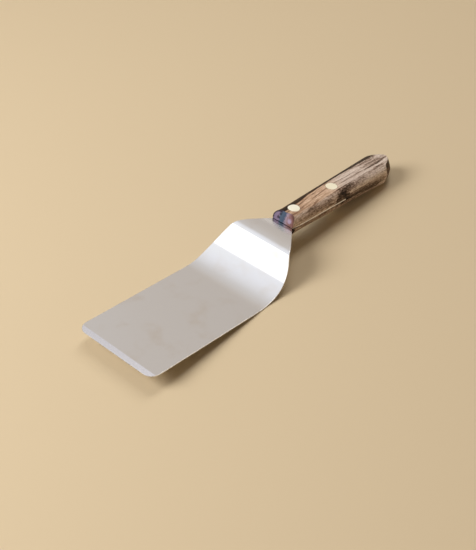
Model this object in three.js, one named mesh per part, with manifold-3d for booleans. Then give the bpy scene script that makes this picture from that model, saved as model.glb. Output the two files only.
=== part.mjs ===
// Offset turner: a bent steel blade whose tang is riveted into a slotted walnut handle.
// Millimetres. +X runs from the blade's front edge to the butt, +Y to the tool's left, +Z up.
// The tool lies as it does on a table, on the heel of its blade and on the point of its butt.

import * as THREE from 'three';
import { mergeVertices } from 'three/addons/utils/BufferGeometryUtils.js';
import Module from 'manifold-3d';

const wasm = await Module();
wasm.setup();

const degrees = THREE.MathUtils.degToRad;

// Blade blank, flat before it is bent
const BLADE_WIDTH = 70;
const SHEET_THICKNESS = 0.9;
const FRONT_CORNER_RADIUS = 7.5;
const GROUND_LENGTH = 4.3; // bevel ground along the front edge
const EDGE_THICKNESS = 0.3; // steel left at the ground edge
const SHOULDER_RADIUS = 70; // from the straight sides into the tapered neck
const TAPER_ANGLE = degrees(38.5); // each side of the neck to the tool's axis

// Bends, with radii to the upper face of the sheet
const FLAT_LENGTH = 101.6; // front edge to the start of the heel bend
const HEEL_RADIUS = 39.8;
const RISE_ANGLE = degrees(60);
const RISE_LENGTH = 3.7; // straight sheet between the two bends
const NECK_RADIUS = 7.2;
const NECK_TAIL_ANGLE = degrees(11); // slope where the neck bend runs out into a gentler one
const NECK_TAIL_RADIUS = 55;
const NECK_LENGTH = 10.1; // straight sheet from the neck bend to the handle
const HANDLE_PITCH = degrees(0.85); // handle to the flat of the blade

// Handle, measured along the tang from the handle's front
const HANDLE_LENGTH = 126.3;
const HANDLE_THICKNESS = 17;
const HANDLE_FRONT_WIDTH = 19.35;
const HANDLE_FLARE = 4.9; // how much wider the handle is at its end
const FRONT_EDGE_ROUND = 0.95; // radius of the long edges at the front, as a share of half the thickness
const BUTT_EDGE_ROUND = 0.57; // the same at the butt
const NOSE_EDGE_ROUND = 0.65; // the same on the face of the nose, which is left squarer
const NOSE_RUN = 8; // stretch behind the nose over which the edges reach their full round
const NOSE_SETBACK = 2.8; // top edge of the front behind the level of the tang
const NOSE_POWER = 2.4;
const NOSE_EASE = 1; // rounding where the front meets the sides
const BUTT_BULGE = 3.85; // middle of the butt beyond its top edge
const BUTT_POWER = 1.2;
const GABLE_LENGTH = 15.2; // the curved faces of the pointed butt, measured along the axis
const GABLE_START_ANGLE = degrees(18); // these faces to the axis, where they leave the sides
const GABLE_TIP_ANGLE = degrees(72.5); // and at the point

// Tang and rivets
const TANG_LENGTH = 63.1;
const TAPER_RUN_IN = 0.5; // taper of the neck carried on behind the front of the handle
const TANG_FRONT_INSET = 0.9; // edge of the tang behind the side of the handle, at the front
const TANG_INSET = 0.2; // the same where the tang has widened
const TANG_WIDENING = 10; // stretch of the tang that widens
const TANG_END_RADIUS = 4;
const SLOT_SPARE = 1; // slot beyond the end of the tang
const FRONT_RIVET = 11.6; // front of the handle to the first rivet
const RIVET_SPACING = 43.3;
const RIVET_HEAD_DIAMETER = 9.3;
const RIVET_HEAD_THICKNESS = 1.6;
const RIVET_HEAD_PROUD = 0.1; // head above the flat of the wood
const RIVET_HEAD_EASE = 0.3; // chamfer round the head
const BARREL_DIAMETER = 5;
const BARREL_WALL = 0.9;
const BARREL_END_GAP = 1.2; // mouth of the barrel to the other head
const CLEARANCE = 0.3;

// Steps of the round stretches
const CORNER_STEPS = 6;
const BEND_STEPS = 14;
const TAIL_STEPS = 5;
const SHOULDER_STEPS = 14;
const SIDE_STEPS = 6;
const GABLE_STEPS = 12;
const HANDLE_LEVELS = 22;
const ROUND_SEGMENTS = 36;

const STEEL = { color: 0xb9b3ad, roughness: 0.32, metalness: 1 };
const WALNUT = { color: 0x7a5844, roughness: 0.55, metalness: 0 };
const BRASS = { color: 0xe2cf97, roughness: 0.35, metalness: 1 };

// Arc lengths along the upper face of the sheet, from the front edge
const heelEnd = FLAT_LENGTH + HEEL_RADIUS * RISE_ANGLE;
const riseEnd = heelEnd + RISE_LENGTH;
const neckEnd = riseEnd + NECK_RADIUS * (RISE_ANGLE - NECK_TAIL_ANGLE);
const tailEnd = neckEnd + NECK_TAIL_RADIUS * (NECK_TAIL_ANGLE - HANDLE_PITCH);
const handleFront = tailEnd + NECK_LENGTH;
const taperEnd = handleFront + TAPER_RUN_IN;
const tangEnd = handleFront + TANG_LENGTH;

const halfThickness = HANDLE_THICKNESS / 2;
const headLevel = halfThickness + RIVET_HEAD_PROUD;
const seatLevel = headLevel - RIVET_HEAD_THICKNESS;
const barrelHole = BARREL_DIAMETER + 2 * CLEARANCE;
const rivetPlaces = { front: FRONT_RIVET, rear: FRONT_RIVET + RIVET_SPACING };

// Half the handle's width at its widest level, at a distance behind its front
function handleHalfWidth(along) {
  return (HANDLE_FRONT_WIDTH + (HANDLE_FLARE * along) / HANDLE_LENGTH) / 2;
}

// Half the tang's width: narrowest in the front of the handle, then level with its sides
function tangHalfWidth(along) {
  const widened = THREE.MathUtils.clamp(along / TANG_WIDENING, 0, 1);
  return handleHalfWidth(along) - THREE.MathUtils.lerp(TANG_FRONT_INSET, TANG_INSET, widened);
}

// The neck tapers to the tang's width just inside the handle, and the shoulder arc runs into the taper
const taperHalfWidth = tangHalfWidth(TAPER_RUN_IN);
const arcEndHalfWidth = BLADE_WIDTH / 2 - SHOULDER_RADIUS * (1 - Math.cos(TAPER_ANGLE));
const arcEnd = taperEnd - (arcEndHalfWidth - taperHalfWidth) / Math.tan(TAPER_ANGLE);
const arcStart = arcEnd - SHOULDER_RADIUS * Math.sin(TAPER_ANGLE);

// How far a round of this radius has turned inwards at a distance past its start
function roundedInset(radius, past) {
  const reach = THREE.MathUtils.clamp(past, 0, radius);
  return radius - Math.sqrt(radius ** 2 - reach ** 2);
}

// Half the blank's width at an arc length s
function blankHalfWidth(s) {
  if (s < arcStart) {
    return BLADE_WIDTH / 2 - roundedInset(FRONT_CORNER_RADIUS, FRONT_CORNER_RADIUS - s);
  }
  if (s < arcEnd) {
    return BLADE_WIDTH / 2 - roundedInset(SHOULDER_RADIUS, s - arcStart);
  }
  if (s < taperEnd) {
    return taperHalfWidth + (taperEnd - s) * Math.tan(TAPER_ANGLE);
  }
  const endInset = roundedInset(TANG_END_RADIUS, s - tangEnd + TANG_END_RADIUS);
  return tangHalfWidth(s - handleFront) - endInset;
}

// Stretches of the sheet's upper face, each of even curvature: its end and the slope there
const stretches = [
  { end: FLAT_LENGTH, slope: 0 },
  { end: heelEnd, slope: RISE_ANGLE },
  { end: riseEnd, slope: RISE_ANGLE },
  { end: neckEnd, slope: NECK_TAIL_ANGLE },
  { end: tailEnd, slope: HANDLE_PITCH },
  { end: tangEnd, slope: HANDLE_PITCH },
];

// Place and slope of the sheet's upper face at an arc length s, one chord for each stretch on the way
function sheetProfile(s) {
  const place = { x: 0, z: 0, slope: 0 };
  let done = 0;
  for (const { end, slope } of stretches) {
    const run = Math.min(s, end) - done;
    const halfTurn = ((slope - place.slope) * run) / (end - done) / 2;
    const chord = halfTurn === 0 ? run : (run * Math.sin(halfTurn)) / halfTurn;
    place.x += chord * Math.cos(place.slope + halfTurn);
    place.z += chord * Math.sin(place.slope + halfTurn);
    place.slope += 2 * halfTurn;
    if (s <= end) {
      break;
    }
    done = end;
  }
  return place;
}

// A point at a height above the sheet's upper face
function aboveSheet(s, across, height) {
  const { x, z, slope } = sheetProfile(s);
  return [x - height * Math.sin(slope), across, z + height * Math.cos(slope)];
}

function evenly(from, to, steps) {
  return Array.from({ length: steps + 1 }, (_, i) => from + ((to - from) * i) / steps);
}

// Closed mesh from rings of points. Each ring runs along the right side and back along the left,
// so the two end caps are strips from side to side.
function loft(rings) {
  const size = rings[0].length;
  const last = size * (rings.length - 1);
  const index = [];
  for (let start = 0; start < last; start += size) {
    for (let i = 0; i < size; i++) {
      const here = start + i;
      const next = start + ((i + 1) % size);
      index.push(here, next, next + size, here, next + size, here + size);
    }
  }
  for (let right = 0, left = size - 1; right < left - 1; right++, left--) {
    index.push(right, left, left - 1, last + right, last + left - 1, last + left);
    if (right + 1 < left - 1) {
      index.push(right, left - 1, right + 1, last + right, last + right + 1, last + left - 1);
    }
  }
  const geometry = new THREE.BufferGeometry();
  geometry.setAttribute('position', new THREE.Float32BufferAttribute(rings.flat(2), 3));
  geometry.setIndex(index);
  return geometry;
}

function toSolid(geometry) {
  const bare = geometry.clone();
  bare.deleteAttribute('normal');
  bare.deleteAttribute('uv');
  const merged = mergeVertices(bare, 1e-4);
  const vertProperties = new Float32Array(merged.attributes.position.array);
  const triVerts = new Uint32Array(merged.index.array);
  return new wasm.Manifold(new wasm.Mesh({ numProp: 3, vertProperties, triVerts }));
}

function cutAway(geometry, tools) {
  const solid = tools.reduce((rest, tool) => rest.subtract(toSolid(tool)), toSolid(geometry));
  const mesh = solid.getMesh();
  const result = new THREE.BufferGeometry();
  result.setAttribute('position', new THREE.BufferAttribute(mesh.vertProperties, 3));
  result.setIndex(new THREE.BufferAttribute(mesh.triVerts, 1));
  return result;
}

function makePiece(name, geometry, finish) {
  geometry.computeVertexNormals();
  const piece = new THREE.Mesh(geometry, new THREE.MeshStandardMaterial(finish));
  piece.name = name;
  return piece;
}

// Cylinder that stands on a point of the handle's axis, between two levels
function standingCylinder(diameter, along, low, high) {
  const geometry = new THREE.CylinderGeometry(diameter / 2, diameter / 2, high - low, ROUND_SEGMENTS);
  geometry.rotateX(Math.PI / 2);
  return geometry.translate(along, 0, (low + high) / 2);
}

// The handle's own frame: origin at its front in the middle of the tang's thickness, X along the tang
const handleFrame = new THREE.Group();
handleFrame.position.set(...aboveSheet(handleFront, 0, -SHEET_THICKNESS / 2));
handleFrame.rotation.y = -HANDLE_PITCH;
handleFrame.updateMatrix();

// Blade: the blank's outline carried along the bent profile, one ring of four corners at each station
function makeBlade() {
  const quarterTurn = evenly(0, Math.PI / 2, CORNER_STEPS);
  const stations = [
    ...quarterTurn.map((turn) => FRONT_CORNER_RADIUS * (1 - Math.cos(turn))),
    GROUND_LENGTH,
    ...evenly(FLAT_LENGTH, heelEnd, BEND_STEPS),
    ...evenly(riseEnd, neckEnd, BEND_STEPS),
    ...evenly(neckEnd, tailEnd, TAIL_STEPS),
    ...evenly(arcStart, arcEnd, SHOULDER_STEPS),
    taperEnd,
    handleFront + TANG_WIDENING,
    ...quarterTurn.map((turn) => tangEnd - TANG_END_RADIUS * (1 - Math.sin(turn))),
  ];
  const apart = SHEET_THICKNESS / 20;
  const sorted = stations.sort((a, b) => a - b);
  const distinct = sorted.filter((s, i) => i === 0 || s - sorted[i - 1] > apart);
  const rings = distinct.map((s) => {
    const half = blankHalfWidth(s);
    const ground = (SHEET_THICKNESS - EDGE_THICKNESS) * Math.max(0, 1 - s / GROUND_LENGTH);
    const upperRight = aboveSheet(s, -half, -ground);
    const lowerRight = aboveSheet(s, -half, -SHEET_THICKNESS);
    const lowerLeft = aboveSheet(s, half, -SHEET_THICKNESS);
    const upperLeft = aboveSheet(s, half, -ground);
    return [upperRight, lowerRight, lowerLeft, upperLeft];
  });
  const holes = Object.values(rivetPlaces).map((along) => {
    const hole = standingCylinder(barrelHole, along, -SHEET_THICKNESS, SHEET_THICKNESS);
    return hole.applyMatrix4(handleFrame.matrix);
  });
  return cutAway(loft(rings), holes);
}

// A point on the handle's left side at a level, inside the rounding of its long edges
function sidePoint(along, level) {
  const halfWidth = handleHalfWidth(along);
  const longEdge = THREE.MathUtils.lerp(FRONT_EDGE_ROUND, BUTT_EDGE_ROUND, along / HANDLE_LENGTH);
  const nearNose = Math.max(0, 1 - along / NOSE_RUN) ** 2;
  const round = THREE.MathUtils.lerp(longEdge, NOSE_EDGE_ROUND, nearNose);
  const radius = Math.min(round * halfThickness, 0.82 * halfWidth);
  const past = Math.abs(level) - halfThickness + radius;
  return new THREE.Vector2(along, halfWidth - roundedInset(radius, past));
}

// Left half of the handle's outline at a level, from the corner of the nose to the tip of the butt
function handleOutline(level) {
  const share = Math.abs(level) / halfThickness;
  const front = NOSE_SETBACK * share ** NOSE_POWER;
  const apex = HANDLE_LENGTH - BUTT_BULGE * share ** BUTT_POWER;
  let corner = apex - GABLE_LENGTH;
  for (let pass = 0; pass < 6; pass++) {
    corner = apex - (GABLE_LENGTH * sidePoint(corner, level).y) / handleHalfWidth(corner);
  }
  const noseCorner = sidePoint(front, level);
  const ease = Math.min(NOSE_EASE, noseCorner.y / 2);
  const noseStart = new THREE.Vector2(front, noseCorner.y - ease);
  const noseEnd = sidePoint(front + ease, level);
  const nose = new THREE.QuadraticBezierCurve(noseStart, noseCorner, noseEnd);
  const sideEnd = sidePoint(corner, level);
  const startSlope = Math.tan(GABLE_START_ANGLE);
  const tipSlope = Math.tan(GABLE_TIP_ANGLE);
  const reach = ((apex - corner) * tipSlope - sideEnd.y) / (tipSlope - startSlope);
  const bend = new THREE.Vector2(corner + reach, sideEnd.y - reach * startSlope);
  const gable = new THREE.QuadraticBezierCurve(sideEnd, bend, new THREE.Vector2(apex, 0));
  return [
    ...nose.getPoints(CORNER_STEPS),
    ...evenly(noseEnd.x, sideEnd.x, SIDE_STEPS).slice(1, -1).map((along) => sidePoint(along, level)),
    ...gable.getPoints(GABLE_STEPS),
  ];
}

// Handle: outlines stacked from the bottom flat to the top flat, then slotted and bored
function makeHandle() {
  const rings = evenly(-Math.PI / 2, Math.PI / 2, HANDLE_LEVELS).map((turn) => {
    const level = halfThickness * Math.sin(turn);
    const left = handleOutline(level);
    const right = left.slice(0, -1).map(({ x, y }) => [x, -y, level]);
    return [...right, ...left.map(({ x, y }) => [x, y, level]).reverse()];
  });
  const slotLength = TANG_LENGTH + SLOT_SPARE + NOSE_SETBACK;
  const slotWidth = HANDLE_FRONT_WIDTH + 2 * HANDLE_FLARE;
  const slot = new THREE.BoxGeometry(slotLength, slotWidth, SHEET_THICKNESS + 2 * CLEARANCE);
  slot.translate(slotLength / 2 - NOSE_SETBACK, 0, 0);
  const seat = RIVET_HEAD_DIAMETER + 2 * CLEARANCE;
  const bores = Object.values(rivetPlaces).flatMap((along) => [
    standingCylinder(barrelHole, along, -headLevel, headLevel),
    standingCylinder(seat, along, seatLevel - CLEARANCE, HANDLE_THICKNESS),
    standingCylinder(seat, along, -HANDLE_THICKNESS, CLEARANCE - seatLevel),
  ]);
  return cutAway(loft(rings), [slot, ...bores]);
}

// Half a rivet, turned round its axis: an eased head with a solid pin or a hollow barrel below it
function turnRivet(belowHead) {
  const headRadius = RIVET_HEAD_DIAMETER / 2;
  const head = [
    [0, headLevel],
    [headRadius - RIVET_HEAD_EASE, headLevel],
    [headRadius, headLevel - RIVET_HEAD_EASE],
    [headRadius, seatLevel],
  ];
  const upwards = [...head, ...belowHead].reverse();
  const profile = upwards.map(([radius, level]) => new THREE.Vector2(radius, level));
  return new THREE.LatheGeometry(profile, ROUND_SEGMENTS).rotateX(Math.PI / 2);
}

function makePin() {
  const radius = BARREL_DIAMETER / 2 - BARREL_WALL - CLEARANCE;
  const end = CLEARANCE - seatLevel;
  return turnRivet([[radius, seatLevel], [radius, end], [0, end]]);
}

function makeBarrel() {
  const outside = BARREL_DIAMETER / 2;
  const bore = outside - BARREL_WALL;
  const mouth = BARREL_END_GAP - seatLevel;
  const wall = [[outside, seatLevel], [outside, mouth], [bore, mouth], [bore, seatLevel], [0, seatLevel]];
  return turnRivet(wall).rotateX(Math.PI);
}

handleFrame.add(makePiece('handle', makeHandle(), WALNUT));
for (const [place, along] of Object.entries(rivetPlaces)) {
  const pin = makePiece(`rivet_pin_${place}`, makePin(), BRASS);
  const barrel = makePiece(`rivet_barrel_${place}`, makeBarrel(), BRASS);
  pin.position.x = along;
  barrel.position.x = along;
  handleFrame.add(pin, barrel);
}

// The whole tool, with the flat of the blade level until it is laid back on its heel and butt
const tool = new THREE.Group();
tool.add(makePiece('blade', makeBlade(), STEEL), handleFrame);

// The floor touches the round of the heel and passes through the lowest point of the butt
const heelCentre = new THREE.Vector3(FLAT_LENGTH, 0, HEEL_RADIUS);
const butt = new THREE.Vector3(HANDLE_LENGTH - BUTT_BULGE, 0, -halfThickness);
const toButt = butt.applyMatrix4(handleFrame.matrix).sub(heelCentre);
const slopeToButt = Math.atan2(toButt.z, toButt.x);
tool.rotation.y = slopeToButt + Math.asin((HEEL_RADIUS + SHEET_THICKNESS) / toButt.length());

const turner = new THREE.Group();
turner.add(tool);
turner.updateMatrixWorld(true);

// Origin at the middle of the underside of the bounding box
const box = new THREE.Box3().setFromObject(turner, true);
const middle = box.getCenter(new THREE.Vector3());
tool.position.set(-middle.x, -middle.y, -box.min.z);

export default turner;
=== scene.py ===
# %% [markdown]
# # A kitchen turner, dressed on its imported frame
# The tool is one bent steel sheet, a slotted walnut handle and two brass rivets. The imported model
# gives its true size and place, and every piece made here is laid in that same frame, in metres.
# The pieces could be modelled by hand, but each of them is a plain formula in the workshop: a blank
# is cut, bent and ground, and a handle is shaped level by level. So the formulas make the meshes,
# and the finishes then follow each piece's own coordinates.

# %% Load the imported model
import bmesh
import bpy
import numpy as np
from mathutils import Matrix, Quaternion, Vector


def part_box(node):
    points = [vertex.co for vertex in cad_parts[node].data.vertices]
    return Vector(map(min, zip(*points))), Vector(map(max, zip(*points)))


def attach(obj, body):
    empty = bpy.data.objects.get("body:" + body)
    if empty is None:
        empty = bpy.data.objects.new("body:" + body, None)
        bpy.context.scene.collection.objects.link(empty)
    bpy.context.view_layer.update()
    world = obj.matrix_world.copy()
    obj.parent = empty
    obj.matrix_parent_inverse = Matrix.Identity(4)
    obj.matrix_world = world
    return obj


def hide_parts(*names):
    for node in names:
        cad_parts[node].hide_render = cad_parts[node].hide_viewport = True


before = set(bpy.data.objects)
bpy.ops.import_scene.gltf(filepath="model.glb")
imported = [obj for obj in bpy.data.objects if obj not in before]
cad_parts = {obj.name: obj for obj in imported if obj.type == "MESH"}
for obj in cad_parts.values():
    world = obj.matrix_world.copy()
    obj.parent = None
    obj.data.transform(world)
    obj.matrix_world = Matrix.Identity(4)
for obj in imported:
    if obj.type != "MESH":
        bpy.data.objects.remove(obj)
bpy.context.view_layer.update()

# %% [markdown]
# ## Camera
# The picture looks down on the tool from the front right of the blade. A camera is set by the
# point of the floor on its axis, its distance, and the angles that it looks down, round and
# askew. These come from the blade's straight edges and the round rivet heads, whose shapes in the
# picture fix the view and the lens.

# %% Camera
IMAGE_HEIGHT = 550
FOCAL_PIXELS = 1138.5
CAMERA_AIM = Vector((-0.02505, 0.00214, 0.0))
CAMERA_DISTANCE = 0.80542
CAMERA_AZIMUTH, CAMERA_ELEVATION, CAMERA_ROLL = np.radians([-47.115, 41.258, -0.405])

camera_data = bpy.data.cameras.new("camera")
camera_data.lens = camera_data.sensor_width * FOCAL_PIXELS / IMAGE_HEIGHT
camera = bpy.data.objects.new("camera", camera_data)
level_reach = np.cos(CAMERA_ELEVATION)
camera_back = Vector((
    np.sin(CAMERA_AZIMUTH) * level_reach,
    -np.cos(CAMERA_AZIMUTH) * level_reach,
    np.sin(CAMERA_ELEVATION),
))
camera.location = CAMERA_AIM + CAMERA_DISTANCE * camera_back
camera.rotation_mode = "QUATERNION"
upright = (-camera_back).to_track_quat("-Z", "Y")
camera.rotation_quaternion = upright @ Quaternion((0, 0, 1), CAMERA_ROLL)
bpy.context.scene.collection.objects.link(camera)
bpy.context.scene.camera = camera
print("lens", round(camera_data.lens, 2), "mm")

# %% [markdown]
# ## The bent sheet's path
# On the bench the blade is one flat blank. Two bends then give it a long round heel and a tight
# neck that runs out gently. Its slope is a broken line along the sheet: level on the flat, growing
# evenly through the heel, steady on the rise, falling fast and then slowly through the neck.
# Adding up the slope gives the path, which is simpler than joining arcs and lines by hand. All
# workshop sizes are in millimetres.

# %% Path of the sheet
SHEET_THICKNESS = 0.9
FLAT_LENGTH = 101.6
HEEL_RADIUS = 39.8
RISE_ANGLE = np.radians(60)
RISE_LENGTH = 3.7
NECK_RADIUS = 7.2
NECK_TAIL_ANGLE = np.radians(11)
NECK_TAIL_RADIUS = 55.0
NECK_LENGTH = 10.1
HANDLE_PITCH = np.radians(0.85)
TANG_LENGTH = 63.1
PATH_POINTS = 24001

heel_end = FLAT_LENGTH + HEEL_RADIUS * RISE_ANGLE
rise_end = heel_end + RISE_LENGTH
neck_end = rise_end + NECK_RADIUS * (RISE_ANGLE - NECK_TAIL_ANGLE)
tail_end = neck_end + NECK_TAIL_RADIUS * (NECK_TAIL_ANGLE - HANDLE_PITCH)
handle_front = tail_end + NECK_LENGTH
tang_end = handle_front + TANG_LENGTH

path_along = np.linspace(0, tang_end, PATH_POINTS)
bend_places = [FLAT_LENGTH, heel_end, rise_end, neck_end, tail_end]
bend_slopes = [0, RISE_ANGLE, RISE_ANGLE, NECK_TAIL_ANGLE, HANDLE_PITCH]
path_slope = np.interp(path_along, bend_places, bend_slopes)
between = (path_slope[1:] + path_slope[:-1]) / 2
path_x = np.append(0, np.cumsum(np.cos(between))) * path_along[1]
path_z = np.append(0, np.cumsum(np.sin(between))) * path_along[1]


def above_sheet(own):
    """Takes (along, across, height) of the flat blank to (x, y, z) of the bent tool: the point of
    the path at that length, moved by the height at right angles to the slope there."""
    along, across, height = own.T
    slope = np.interp(along, path_along, path_slope)
    x = np.interp(along, path_along, path_x) - height * np.sin(slope)
    z = np.interp(along, path_along, path_z) + height * np.cos(slope)
    return np.stack([x, across, z], -1)


print("sheet", round(tang_end, 1), "mm long, handle starts at", round(handle_front, 1))

# %% [markdown]
# ## The handle's axis and the way the tool lies
# The handle's own coordinates run along the tang from the handle's front, across it to the left,
# and up from the middle of the sheet. The tool lies on two places: the round of its heel and the
# lowest edge of its butt. The turn that brings both to the floor is worked out from them, and the
# packed box of the blade gives the place along X.

# %% Lie of the tool
HANDLE_LENGTH = 126.3
HANDLE_THICKNESS = 17.0
BUTT_BULGE = 3.85

half_thickness = HANDLE_THICKNESS / 2
handle_origin = above_sheet(np.array([[handle_front, 0, -SHEET_THICKNESS / 2]]))[0]


def along_handle(own):
    """Takes (along, across, level) of the handle to (x, y, z) of the tool: a turn by the pitch
    about the handle's origin."""
    along, across, level = own.T
    x = handle_origin[0] + along * np.cos(HANDLE_PITCH) - level * np.sin(HANDLE_PITCH)
    z = handle_origin[2] + along * np.sin(HANDLE_PITCH) + level * np.cos(HANDLE_PITCH)
    return np.stack([x, across, z], -1)


heel_centre = np.array([FLAT_LENGTH, 0, HEEL_RADIUS])
heel_outside = HEEL_RADIUS + SHEET_THICKNESS
butt_edge = along_handle(np.array([[HANDLE_LENGTH - BUTT_BULGE, 0, -half_thickness]]))[0]
to_butt = butt_edge - heel_centre
rest_turn = np.arctan2(to_butt[2], to_butt[0]) + np.arcsin(heel_outside / np.linalg.norm(to_butt))
front_x = 1000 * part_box("blade")[0].x


def lay_down(tool):
    """Takes millimetres of the tool to metres of the frame: a turn about Y, then a shift that puts
    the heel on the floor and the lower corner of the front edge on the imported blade's end."""
    x = tool[:, 0] * np.cos(rest_turn) + tool[:, 2] * np.sin(rest_turn)
    z = tool[:, 2] * np.cos(rest_turn) - tool[:, 0] * np.sin(rest_turn)
    x += front_x + SHEET_THICKNESS * np.sin(rest_turn)
    z += heel_outside + heel_centre[0] * np.sin(rest_turn) - heel_centre[2] * np.cos(rest_turn)
    return np.stack([x, tool[:, 1], z], -1) / 1000


print("front of the blade is raised by", round(np.degrees(rest_turn), 2), "degrees")

# %% [markdown]
# ## From grids to pieces
# Each surface is a grid of points in the piece's own coordinates. A piece is several such grids
# whose borders are the same points, so welding closes it. The own coordinates stay on the mesh
# as an attribute: brush marks and wood grain then follow the bend of the sheet and the length of
# the handle, and not the room.

# %% Mesh helper
WELD = 2e-6
SHARP_EDGE = np.radians(50)


def grid_cells(rows, columns, closed):
    """Corner numbers of each cell of a grid stored row by row. A closed grid joins its last column
    to its first."""
    row, column = np.mgrid[0:rows - 1, 0:columns - (not closed)]
    after = (column + 1) % columns
    corners = [row * columns + column, row * columns + after]
    corners += [corners[1] + columns, corners[0] + columns]
    return np.stack(corners, -1).reshape(-1, 4)


def make_piece(name, grids, place, node):
    """One welded mesh from grids of own coordinates, shaded smooth apart from its sharp edges, in
    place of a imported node."""
    cells = []
    count = 0
    for own, closed in grids:
        cells.append(count + grid_cells(*own.shape[:2], closed))
        count += own.shape[0] * own.shape[1]
    own = np.concatenate([own.reshape(-1, 3) for own, closed in grids])
    mesh = bpy.data.meshes.new(name)
    mesh.from_pydata(place(own), [], np.concatenate(cells).tolist())
    layer = mesh.attributes.new("own", "FLOAT_VECTOR", "POINT")
    layer.data.foreach_set("vector", own.astype(np.float32).ravel())
    shell = bmesh.new()
    shell.from_mesh(mesh)
    bmesh.ops.remove_doubles(shell, verts=shell.verts, dist=WELD)
    bmesh.ops.recalc_face_normals(shell, faces=shell.faces)
    open_edges = sum(not edge.is_manifold for edge in shell.edges)
    shell.to_mesh(mesh)
    shell.free()
    mesh.shade_smooth()
    mesh.set_sharp_from_angle(angle=SHARP_EDGE)
    piece = bpy.data.objects.new(name, mesh)
    bpy.context.scene.collection.objects.link(piece)
    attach(piece, "root")
    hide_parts(node)
    print(name, len(mesh.polygons), "faces,", open_edges, "open edges")
    return piece


print("points closer than", 1000 * WELD, "mm are welded")

# %% [markdown]
# ## Blade
# The blank has rounded front corners, straight sides, and long shoulders that run into the neck
# and the tang. A drawn outline would have to be traced again for every change, so half its width
# is given at each place along the sheet. The tang follows the handle's sides, just inside them.

# %% Outline of the blank
BLADE_WIDTH = 70.0
FRONT_CORNER_RADIUS = 7.5
GROUND_LENGTH = 4.3
EDGE_THICKNESS = 0.3
SHOULDER_RADIUS = 70.0
TAPER_ANGLE = np.radians(38.5)
TAPER_RUN_IN = 0.5
TANG_FRONT_INSET = 0.9
TANG_INSET = 0.05
TANG_WIDENING = 10.0
TANG_END_RADIUS = 4.0
HANDLE_FRONT_WIDTH = 19.35
HANDLE_FLARE = 4.9


def handle_half_width(along):
    """Half the handle's greatest width: an even flare from the front to the butt."""
    return (HANDLE_FRONT_WIDTH + HANDLE_FLARE * along / HANDLE_LENGTH) / 2


def tang_half_width(along):
    """Half the tang's width: inside the handle's sides, by less as the tang widens."""
    widened = np.clip(along / TANG_WIDENING, 0, 1)
    return handle_half_width(along) - TANG_FRONT_INSET + (TANG_FRONT_INSET - TANG_INSET) * widened


def rounded_inset(radius, past):
    """How far a round has turned inwards, at a distance past its start: the radius less the other
    side of the right triangle."""
    return radius - np.sqrt(radius**2 - np.clip(past, 0, radius) ** 2)


taper_end = handle_front + TAPER_RUN_IN
taper_half = tang_half_width(TAPER_RUN_IN)
shoulder_half = BLADE_WIDTH / 2 - SHOULDER_RADIUS * (1 - np.cos(TAPER_ANGLE))
shoulder_end = taper_end - (shoulder_half - taper_half) / np.tan(TAPER_ANGLE)
shoulder_start = shoulder_end - SHOULDER_RADIUS * np.sin(TAPER_ANGLE)


def blank_half_width(along):
    """Half the blank's width: the straight side less the rounds of its front corner and shoulder,
    then the straight taper, then the tang with its rounded end."""
    front = BLADE_WIDTH / 2 - rounded_inset(FRONT_CORNER_RADIUS, FRONT_CORNER_RADIUS - along)
    shoulder = BLADE_WIDTH / 2 - rounded_inset(SHOULDER_RADIUS, along - shoulder_start)
    taper = taper_half + (taper_end - along) * np.tan(TAPER_ANGLE)
    end_round = rounded_inset(TANG_END_RADIUS, along - tang_end + TANG_END_RADIUS)
    tang = tang_half_width(along - handle_front) - end_round
    stretches = [along < shoulder_start, along < shoulder_end, along < taper_end]
    return np.select(stretches, [front, shoulder, taper], tang)


print("neck", round(2 * taper_half, 1), "mm wide at the handle")

# %% [markdown]
# ### Faces of the blade
# A bevel is ground along the front of the upper face, and the lower face is plain. Each face is a
# grid of lines across the blank, closer together at the rounds and bends. The faces end a little
# inside the outline, which leaves room for the eased edge.

# %% Faces of the blade
EDGE_EASE = 0.12
CROSS_LINES = 33
GROUND_BLEND = 0.1

quarter = np.linspace(0, np.pi / 2, 19)
stations = np.unique(np.round(np.concatenate([
    FRONT_CORNER_RADIUS * (1 - np.cos(quarter)),
    GROUND_LENGTH + np.linspace(-GROUND_BLEND, GROUND_BLEND, 5),
    np.linspace(FRONT_CORNER_RADIUS, FLAT_LENGTH, 32),
    np.linspace(FLAT_LENGTH, heel_end, 64),
    np.linspace(heel_end, rise_end, 7),
    np.linspace(rise_end, neck_end, 33),
    np.linspace(neck_end, taper_end, 31),
    np.linspace(taper_end, tang_end - TANG_END_RADIUS, 33),
    tang_end - TANG_END_RADIUS * (1 - np.sin(quarter)),
]), 5))
half_widths = blank_half_width(stations)
run = np.gradient(stations)
growth = np.gradient(half_widths)
out_along = -growth / np.hypot(run, growth)
out_across = run / np.hypot(run, growth)
out_along[[0, -1]] = [-1, 1]
out_across[[0, -1]] = 0
across_share = np.sin(np.linspace(-np.pi / 2, np.pi / 2, CROSS_LINES))

face_along = np.repeat((stations - EDGE_EASE * out_along)[:, None], CROSS_LINES, 1)
face_across = (half_widths - EDGE_EASE * out_across)[:, None] * across_share


def ground_height(along):
    """Height of the upper face: lowered evenly towards the front edge over the ground length."""
    return (EDGE_THICKNESS - SHEET_THICKNESS) * np.clip(1 - along / GROUND_LENGTH, 0, 1)


upper_face = np.stack([face_along, face_across, ground_height(face_along)], -1)
lower_face = np.stack([face_along, face_across, np.full_like(face_along, -SHEET_THICKNESS)], -1)
print(len(stations), "lines across each face")

# %% [markdown]
# ### Edge of the blade
# The cut edges are eased a little. A bevel modifier would also catch the ground edge, so one band
# goes round the whole outline, with a quarter round at the upper face and another at the lower one.

# %% Edge of the blade
def border(grid):
    """The border of a grid in one round: first row, last column, last row and first column."""
    return np.concatenate([grid[0], grid[1:, -1], grid[-1, -2::-1], grid[-2:0:-1, 0]])


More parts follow.
